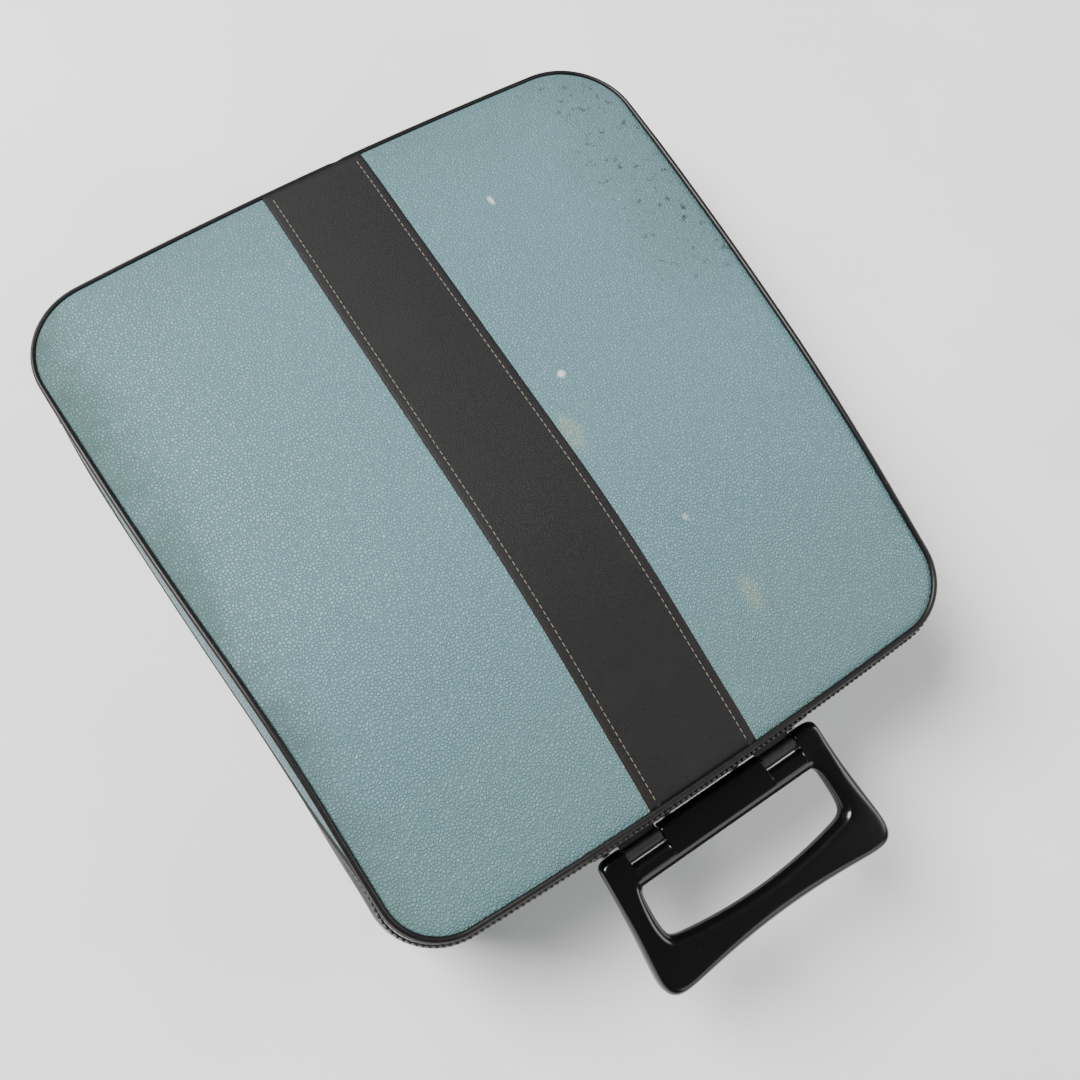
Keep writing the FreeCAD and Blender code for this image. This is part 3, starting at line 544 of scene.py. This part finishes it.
def carry(section, path, out, up):
    """Carries a section of (out, up) distances along a path: point = path + a * out + b * up."""
    section = np.asarray(section, float)
    if section.ndim == 2:
        section = np.broadcast_to(section, (len(path),) + section.shape)
    return path[:, None] + section[..., :1] * out[:, None] + section[..., 1:] * up[:, None]


def outward(columns=outline):
    """Level unit vectors pointing out of the case at each column."""
    return np.column_stack([np.cos(columns[:, 3]), np.sin(columns[:, 3]), np.zeros(len(columns))])


def circle(count, start=0.0):
    """count points evenly round a circle of radius 1, the first at angle start."""
    turn = np.linspace(0, 2 * np.pi, count, endpoint=False) + start
    return np.column_stack([np.cos(turn), np.sin(turn)])


round_section = circle(14)
upward = np.tile([0.0, 0.0, 1.0], (len(outline), 1))
butt = np.exp(-((rim[:, 0] + 14.0) / 2.2) ** 2) * (rim[:, 1] < 0)
tucked = np.clip((-rim[:, 1] - 120.0) / 55.0, 0, 1)
welt_size = 1.60 - 0.45 * tucked - 0.55 * butt
welt_path = rim + outward() * 0.30 + upward * (0.15 - 0.85 * tucked)[:, None]
welt_grid = carry(round_section * welt_size[:, None, None], welt_path, outward(), upward)
lid_welt = skin("lid_welt", welt_grid, "lid", welt_finish, ring=True)
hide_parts("lid_piping")

tray_welt_grid = carry(round_section * 1.1, wall(4.3, 0.1), outward(), upward)
tray_welt = skin("tray_welt", tray_welt_grid, "case_base", welt_finish, ring=True)
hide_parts("base_piping")

# --- Dark band ---------------------------------------------------------------------------------
# A strip of charcoal leathercloth sewn down the middle of the lid, over the top panel and down
# the hinge-end wall, with a row of pale stitches a few millimetres in from each long edge.

charcoal = {"light": (0.0115, 0.0115, 0.0118), "dark": (0.0055, 0.0055, 0.0058), "pebble": 1.2,
            "depth": 0.00010}
band_middle = 2.0
band, band_tone, _ = leathercloth("charcoal_leathercloth", **charcoal)
from_middle = band.add("Math", {"operation": "ABSOLUTE"}, {0: band.place_along(0) - band_middle * MM})
margin = band.between(from_middle, 0.0300, 0.0318)
lint = band.between(band.cloud(900.0, 1.0), 0.79, 0.83)
tone = band.mix(margin, band_tone, (0.016, 0.011, 0.009, 1))
tone = band.mix(lint * 0.5, tone, (0.10, 0.10, 0.095, 1))
smear = band.cloud(18.0, 5.0, 0.6)
tone = band.mix(band.between(smear, 0.5, 0.8) * 0.35, tone, (0.020, 0.0195, 0.0185, 1))
band.feed("Base Color", tone)
band.feed("Roughness", 0.46 + smear * 0.25)
band.feed("Specular IOR Level", 0.18)

wall_rows, top_rows = 20, 130
seam_y = -half_length + float(wall_inset(front_top[1]))
rear_y = 196.9 - float(wall_inset(97.6))
down = np.linspace(15.5, 55.6, wall_rows)
wall_run = np.column_stack([np.zeros(wall_rows), -half_length + wall_inset(down), down])
back_y = np.linspace(seam_y + 0.3, rear_y - 0.6, top_rows)
dip = sewn_dip(0, back_y, 0, np.where(back_y < 0, seam_y, rear_y))
top_run = np.column_stack([np.zeros(top_rows), back_y, lid_top(back_y) + dip])
band_path = np.vstack([wall_run, top_run])


def headings(path):
    """Unit vectors along a path, from the step between each point's neighbours."""
    step = np.gradient(path, axis=0)
    return step / np.linalg.norm(step, axis=1)[:, None]


heading = headings(band_path)
sideways = np.tile([1.0, 0.0, 0.0], (len(band_path), 1))
proud = np.cross(sideways, heading)
band_half = 31.6 + 1.1 * band_path[:, 1] / 190.0
# Across the band: share of its half width, and height; it dips under each row of stitches.
half_profile = [(1.0, -0.5), (1.0, 0.35), (0.985, 0.75), (0.95, 0.95), (0.86, 0.86), (0.80, 0.92)]
edge_profile = np.array(half_profile + [(0.0, 0.95)] + [(-a, b) for a, b in reversed(half_profile)])
band_rises = np.broadcast_to(edge_profile[:, 1], (len(band_path), len(edge_profile)))
band_section = np.stack([edge_profile[None, :, 0] * band_half[:, None] + band_middle, band_rises], -1)
band_grid = carry(band_section, band_path, sideways, proud)
lid_band = skin("lid_band_cloth", band_grid, "lid", band)
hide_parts("lid_band")

thread = Finish("thread", (0.36, 0.30, 0.22), 0.8)
twist = thread.add("TexWave", {"bands_direction": "DIAGONAL"},
                   {"Vector": thread.place, "Scale": 900.0})
thread.feed("Base Color", thread.mix(twist, (0.14, 0.11, 0.08, 1), (0.30, 0.25, 0.19, 1)))


def every_so_far(path, start, end, pitch, *tracks):
    """Each track's values at steps of pitch along a path, leaving start and end millimetres free."""
    run = np.r_[0, np.cumsum(np.linalg.norm(np.diff(path, axis=0), axis=1))]
    at = np.arange(start, run[-1] - end, pitch)
    return [np.column_stack([np.interp(at, run, track[:, i]) for i in range(3)]) for track in tracks]


def stitch_row(path, heading, lift, out, pitch, length, thick):
    """Stitches along a path: flat capsules pitch apart, dipping into the cloth at both ends."""
    tracks = every_so_far(path, pitch, pitch, pitch, path, heading, out, lift)
    place, ahead, side, up = (track[:, None, None] for track in tracks)
    spine = np.linspace(-1, 1, 5)
    girth = np.sqrt(1 - (spine * 0.92) ** 2)[:, None] * thick
    ring = circle(6)
    return (place + ahead * (spine * length / 2)[:, None, None]
            + side * (girth * ring[:, 0])[..., None] + up * (girth * ring[:, 1])[..., None])


def crowd(name, shapes, ride, finish, smooth=True):
    """One mesh of many like closed pieces, each a grid (rows, columns, 3) looped and capped."""
    count, rows, columns = shapes.shape[:3]
    index = np.arange(rows * columns).reshape(rows, columns)
    quads = quads_over(np.hstack([index, index[:, :1]]))
    first = shapes[0].reshape(-1, 3) - shapes[0].reshape(-1, 3).mean(axis=0)
    tri = first[quads]
    flip = np.einsum("ij,ij->i", tri[:, 0], np.cross(tri[:, 1], tri[:, 2])).sum() < 0
    caps = np.stack([index[0][::-1], index[-1]])
    shift = (np.arange(count) * rows * columns)[:, None, None]
    faces = (quads[None] + shift).reshape(-1, 4).tolist()
    faces += (caps[None] + shift).reshape(-1, columns).tolist()
    faces = [tuple(face[::-1]) if flip else tuple(face) for face in faces]
    return piece_from(name, shapes.reshape(-1, 3), faces, ride, finish, smooth)


stitches = []
stitch_margin = 4.6
for way in (-1, 1):
    line = band_path + proud + sideways * (way * (band_half - stitch_margin) + band_middle)[:, None]
    stitches += [stitch_row(line[part], heading[part], proud[part], sideways[part], 3.6, 2.7, 0.21)
                 for part in (slice(0, wall_rows), slice(wall_rows + 1, None))]
crowd("band_stitches", np.concatenate(stitches), "lid", thread)

# --- Zip ---------------------------------------------------------------------------------------
# A chunky moulded zip: two woven black tapes sewn outside the lid and tray with a line of thread,
# and interlocking teeth along their facing edges. The metal slider is parked at the hinge end.

tape_finish = Finish("zip_tape", (0.012, 0.012, 0.012), 0.85, Sheen_Weight=0.3)
weave = tape_finish.add("TexWave", {"bands_direction": "DIAGONAL"},
                        {"Vector": tape_finish.place, "Scale": 420.0, "Distortion": 1.5})
tape_finish.feed("Base Color", tape_finish.mix(weave, (0.008, 0.008, 0.008, 1),
                                               (0.024, 0.023, 0.022, 1)))
tape_finish.relief(weave, 0.00012, 0.5)

zip_start_y = -146.0
has_zip = zip_line[:, 1] > zip_start_y
bearing = np.arctan2(zip_line[has_zip, 1] + 400.0, zip_line[has_zip, 0])
zip_columns = outline[has_zip][np.argsort(bearing)]
zip_out = outward(zip_columns)

tape_stitching = 4.6
# Points across a tape: distance from the zip line, and height off the wall.
tape_section = [(0.4, 0.1), (0.4, 1.0), (2.8, 1.2), (4.4, 1.0), (6.0, 1.7), (6.5, 1.5), (6.6, 0.1)]
for half, body, node, way in (("lid", "lid", "zip_tape_lid", 1),
                              ("tray", "case_base", "zip_tape_base", -1)):
    tape_grid = np.stack([wall_at_zip(way * off, lift, zip_columns) for off, lift in tape_section], 1)
    tape = skin("zip_tape_" + half, tape_grid, body, tape_finish)
    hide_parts(node)
    line = wall_at_zip(way * tape_stitching, 1.0, zip_columns)
    ahead = headings(line)
    row = stitch_row(line, ahead, zip_out, np.cross(ahead, zip_out), 3.2, 2.3, 0.16)
    crowd("zip_stitches_" + half, row, body, tape_finish)

tooth_finish = Finish("zip_teeth", (0.011, 0.011, 0.012), 0.34)
tooth_finish.feed("Roughness", 0.28 + tooth_finish.cloud(500.0, 2.0) * 0.22)

tooth_pitch = 3.2
# Levels of a tooth: height, half its length along the zip, and half its width across it.
tooth_levels = [(0.0, 0.858, 1.728), (0.7, 0.806, 1.62), (1.05, 0.624, 1.3824), (1.2, 0.338, 1.026)]


def teeth(way, shift):
    """Teeth beside the zip line: each an eight-sided block, tapered to its crown."""
    line = wall_at_zip(way * 1.15, 1.0, zip_columns)
    ahead = headings(line)
    tracks = every_so_far(line, shift + 1.5, 1.5, tooth_pitch, line, zip_out, ahead,
                          np.cross(ahead, zip_out))
    place, out, ahead, beside = (track[:, None] for track in tracks)
    octagon = circle(8, np.pi / 8)
    return np.stack([place + out * rise + ahead * (octagon[:, :1] * long)
                     + beside * (octagon[:, 1:] * wide) for rise, long, wide in tooth_levels], 1)


for half, body, node, way, shift in (("lid", "lid", "zip_teeth_lid", 1, 0.0),
                                     ("tray", "case_base", "zip_teeth_base", -1, tooth_pitch / 2)):
    row = crowd("zip_teeth_" + half, teeth(way, shift), body, tooth_finish,
                smooth=False)
    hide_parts(node)

plated = Finish("plated_metal", (0.62, 0.61, 0.58), 0.25, Metallic=1.0)
tarnish = plated.cloud(160.0, 4.0, 0.6)
plated.feed("Base Color", plated.mix(plated.between(tarnish, 0.4, 0.75), (0.70, 0.69, 0.66, 1),
                                     (0.36, 0.33, 0.29, 1)))
plated.feed("Roughness", 0.18 + tarnish * 0.3)


def repaint(finish, *nodes):
    """Gives CAD nodes this finish."""
    for node in nodes:
        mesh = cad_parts[node].data
        mesh.materials.clear()
        mesh.materials.append(finish.material)


repaint(plated, "zip_slider", "zip_pull")
repaint(tooth_finish, "zip_stops")

# --- Cloth hinge -------------------------------------------------------------------------------
# A strip of dark leathercloth across the gap at the hinge end, glued to the tray below and to the
# lid above; here it is one fixed strip that rides neither half.

hinge_half_width, hinge_rows = 128.0, 24
low_wall = wall(8.0)
hinge_columns = outline[(np.abs(low_wall[:, 0]) < hinge_half_width) & (low_wall[:, 1] < -100)]
hinge_columns = hinge_columns[np.argsort(wall(8.0, 0.0, hinge_columns)[:, 0])]
heights = np.linspace(5.6, 19.5, hinge_rows)
swell = 0.25 + 0.75 * np.abs(np.sin(np.linspace(0, np.pi, hinge_rows))) ** 0.3
outside = [wall(z, grow, hinge_columns) for z, grow in zip(heights, swell)]
inside = [wall(z, glue, hinge_columns) for z in heights[::-1]]
hinge_cloth = leathercloth("hinge_leathercloth", **charcoal)[0]
hinge_grid = np.stack(outside + inside, 1)
hinge_strip = skin("cloth_hinge", hinge_grid, None, hinge_cloth)
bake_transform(hinge_strip)
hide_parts("lid_hinge_strip")

# --- Handle bracket ----------------------------------------------------------------------------
# A black-enamelled steel plate riveted to the tray's high wall, rolled into two knuckles that the
# handle's steel pins run through; the enamel is rubbed brown in patches.

bracket_enamel = Finish("bracket_enamel", (0.006, 0.005, 0.004), 0.4)
rubbed = bracket_enamel.cloud(140.0, 5.0, 0.65)
bracket_enamel.feed("Base Color", bracket_enamel.mix(
    bracket_enamel.between(rubbed, 0.45, 0.75), (0.004, 0.0035, 0.0035, 1), (0.022, 0.012, 0.009, 1)))
bracket_enamel.feed("Roughness", 0.36 + rubbed * 0.35)
bracket_enamel.relief(rubbed, 0.0001, 0.3)
repaint(bracket_enamel, "handle_bracket")
pin_steel = Finish("aged_steel", (0.30, 0.28, 0.26), 0.38, Metallic=1.0)
pitting = pin_steel.cloud(600.0, 4.0, 0.6)
pin_steel.feed("Base Color", pin_steel.mix(pitting, (0.10, 0.085, 0.075, 1), (0.38, 0.36, 0.34, 1)))
pin_steel.feed("Roughness", 0.28 + pitting * 0.3)
repaint(pin_steel, "bracket_rivets", "handle_pins")

# --- Handle ------------------------------------------------------------------------------------
# One glossy black plastic moulding: a flat hinge bar notched for the two knuckles, two short arms
# and a thicker grip bowed in along its outer edge, with a bevelled rim round the finger opening.

pivot_y, pivot_z = 200.2, 80.0


def handle_ring():
    """Matching points of the finger opening and of the outer edge, going round the handle once."""
    near, far, notch = 216.5, 195.0, pivot_y + 4.7
    # Across the hinge bar: outer x, opening x, and 1 where the bar is notched for a knuckle.
    bar = [(0, 0, 0), (10, 10, 0), (22, 22, 0), (31.5, 31.3, 0), (31.8, 31.6, 0), (31.9, 31.7, 1),
           (32.2, 32.0, 1), (38, 37.8, 1), (48, 47.0, 1), (53.8, 52.2, 1), (54.1, 52.4, 1),
           (54.2, 52.5, 0), (54.5, 52.7, 0), (59, 53.3, 0), (63.0, 53.8, 0)]
    bar = [((ix, near), (ox, notch if cut else far)) for ox, ix, cut in bar]
    # Down the arm and back along the grip: a point of the opening, then one of the outer edge.
    side = [((54.2, 217.0), (66.6, 195.6)), ((55.6, 218.4), (68.6, 197.4)),
            ((56.2, 220.6), (69.0, 200.6)), ((56.5, 223.5), (69.1, 210.0)),
            ((56.7, 228.0), (69.6, 221.0)), ((56.8, 233.0), (70.4, 233.0)),
            ((56.6, 237.5), (71.4, 244.0)), ((56.0, 240.6), (72.2, 253.0)),
            ((55.0, 242.8), (72.6, 260.0)), ((52.8, 244.3), (71.2, 265.6)),
            ((49.8, 245.2), (68.4, 268.6)), ((46.0, 245.9), (64.0, 269.8)),
            ((41.0, 246.8), (57.0, 269.6)), ((33.0, 248.0), (44.0, 268.2)),
            ((22.0, 249.2), (28.0, 266.9)), ((11.0, 249.9), (13.0, 266.2)),
            ((0.0, 250.1), (0.0, 266.0))]
    half = bar + side
    other = [((-i[0], i[1]), (-o[0], o[1])) for i, o in reversed(half)][1:-1]
    return np.array(half + other, float)


def handle_thickness(y):
    """Half the handle's thickness: thin at the hinge bar, thick at the grip, eased between."""
    return 4.9 + 2.4 * ease((y - 212.0) / 22.0)


# Points of the handle's section: distance in from an edge, and share of half the thickness.
opening_edge = [(0.0, 0.0), (0.0, 0.34), (0.5, 0.52), (2.2, 0.80), (3.4, 0.93), (4.6, 0.985),
                (6.0, 1.0)]
outer_edge = [(5.2, 1.0), (3.6, 0.96), (2.0, 0.84), (0.8, 0.62), (0.15, 0.33), (0.0, 0.0)]


def handle_grid():
    """Section carried round the ring: a bevel up from the opening, a flat face and a rounded outer
    edge, then the same underneath. No edge takes more than two fifths of the width."""
    ring = handle_ring()
    inner, outer = ring[:, 0], ring[:, 1]
    width = np.linalg.norm(outer - inner, axis=1)
    top = [(np.minimum(away, width * 0.4) / width, rise) for away, rise in opening_edge]
    top += [(1 - np.minimum(away, width * 0.4) / width, rise) for away, rise in outer_edge]
    columns = []
    for share, rise in top + [(share, -rise) for share, rise in top[::-1][1:-1]]:
        xy = inner + (outer - inner) * share[:, None]
        columns.append(np.column_stack([xy, pivot_z + handle_thickness(xy[:, 1]) * rise]))
    return np.stack(columns, 1)


handle_plastic = Finish("handle_plastic", (0.002, 0.0018, 0.002), 0.16, Specular_IOR_Level=0.45)
toward_grip = handle_plastic.between(handle_plastic.place_along(1), 0.236, 0.256)
hairlines = handle_plastic.cloud(420.0, 5.0, 0.75)
handle_plastic.feed("Roughness", 0.13 + toward_grip * 0.05 + hairlines * 0.1)
handle_plastic.feed("Base Color", handle_plastic.mix(
    handle_plastic.between(hairlines, 0.62, 0.75) * 0.5, (0.002, 0.0018, 0.002, 1),
    (0.02, 0.018, 0.016, 1)))
handle_plastic.relief(handle_plastic.cloud(60.0, 3.0), 0.0004, 0.12)
handle = skin("carry_handle", handle_grid(), "handle", handle_plastic, ring=True)
soften = handle.modifiers.new("soften", "SUBSURF")
soften.levels = soften.render_levels = 2
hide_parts("handle")

# --- Machine: pan, casing and ribbon cover -----------------------------------------------------
# The typewriter inside: a pressed steel pan on rubber feet, and a casing and ribbon cover of
# sheet steel in baked enamel with a faint orange-peel surface.

enamel = Finish("machine_enamel", (0.24, 0.34, 0.36), 0.3, Coat_Weight=0.35)
enamel.feed("Base Color", enamel.mix(enamel.between(enamel.cloud(25.0, 4.0), 0.4, 0.7),
                                     (0.235, 0.335, 0.355, 1), (0.265, 0.365, 0.38, 1)))
enamel.relief(enamel.cloud(700.0, 2.0), 0.0001, 0.2)
black_enamel = Finish("black_enamel", (0.015, 0.015, 0.016), 0.35, Coat_Weight=0.3)
black_enamel.feed("Roughness", 0.28 + black_enamel.cloud(240.0, 4.0) * 0.25)
rubber = Finish("rubber", (0.014, 0.014, 0.015), 0.75)
rubber.feed("Roughness", 0.62 + rubber.cloud(300.0, 4.0) * 0.25)
rubber.relief(rubber.cloud(800.0, 3.0), 0.0001, 0.3)
repaint(enamel, "body_casing", "ribbon_cover", "paper_table")
repaint(black_enamel, "machine_pan", "carriage_frame", "spool_left", "spool_right")
repaint(rubber, "machine_feet", "platen", "bail_rollers")

# --- Machine: keys -----------------------------------------------------------------------------
# Moulded key tops in near-black plastic pressed onto their levers, worn smooth in patches. The
# levers, the shift keys' shaft and the platen's knobs have the same finish.

key_plastic = Finish("key_plastic", (0.02, 0.02, 0.022), 0.28, Coat_Weight=0.2)
touch = key_plastic.cloud(120.0, 4.0)
key_plastic.feed("Roughness", 0.2 + touch * 0.3)
key_plastic.feed("Base Color", key_plastic.mix(touch, (0.016, 0.016, 0.018, 1),
                                               (0.032, 0.032, 0.034, 1)))
repaint(key_plastic, "key_row_bottom", "key_row_home", "key_row_top", "key_row_number", "shift_keys",
        "shift_lock", "space_bar", "platen_knobs")

# --- Machine: type basket, ribbon and carriage -------------------------------------------------
# Ground and plated steel works: the fan of type bars in its half-ring segment, the inked ribbon
# between its spools, and the carriage with its rubber platen, bail, lever, stops, drum and bell.

works = Finish("ground_steel", (0.42, 0.42, 0.42), 0.35, Metallic=1.0)
stretched = works.add("Mapping", {}, {"Vector": works.place, "Scale": (1, 14, 14)})
grind = works.add("TexNoise", {}, {"Vector": stretched, "Scale": 90.0, "Detail": 4.0})
works.feed("Roughness", 0.26 + grind * 0.3)
works.feed("Base Color", works.mix(grind, (0.34, 0.34, 0.34, 1), (0.5, 0.5, 0.49, 1)))
repaint(works, "spool_posts", "type_segment", "typebars", "carriage_rail", "platen_shaft",
        "line_ratchet", "lever_post", "margin_rail", "mainspring_drum", "case_clips")
steel = Finish("bright_steel", (0.62, 0.62, 0.63), 0.2, Metallic=1.0)
draw_marks = steel.cloud(90.0, 3.0)
steel.feed("Roughness", 0.14 + draw_marks * 0.22)
repaint(steel, "ribbon_guide", "paper_bail", "return_lever", "margin_stop_left", "margin_stop_right",
        "margin_bell")
inked = Finish("inked_ribbon", (0.008, 0.008, 0.012), 0.7, Sheen_Weight=0.2)
threads = inked.cloud(2200.0, 2.0)
inked.feed("Base Color", inked.mix(threads, (0.006, 0.006, 0.009, 1), (0.018, 0.018, 0.024, 1)))
inked.relief(threads, 0.0001, 0.4)
repaint(inked, "ribbon", "ribbon_pack_left", "ribbon_pack_right")
felt = Finish("felt", (0.11, 0.04, 0.04), 0.95, Sheen_Weight=0.5)
fuzz = felt.cloud(1800.0, 3.0)
felt.feed("Base Color", felt.mix(fuzz, (0.08, 0.03, 0.03, 1), (0.15, 0.06, 0.055, 1)))
felt.relief(fuzz, 0.0003, 0.6)
repaint(felt, "type_rest")
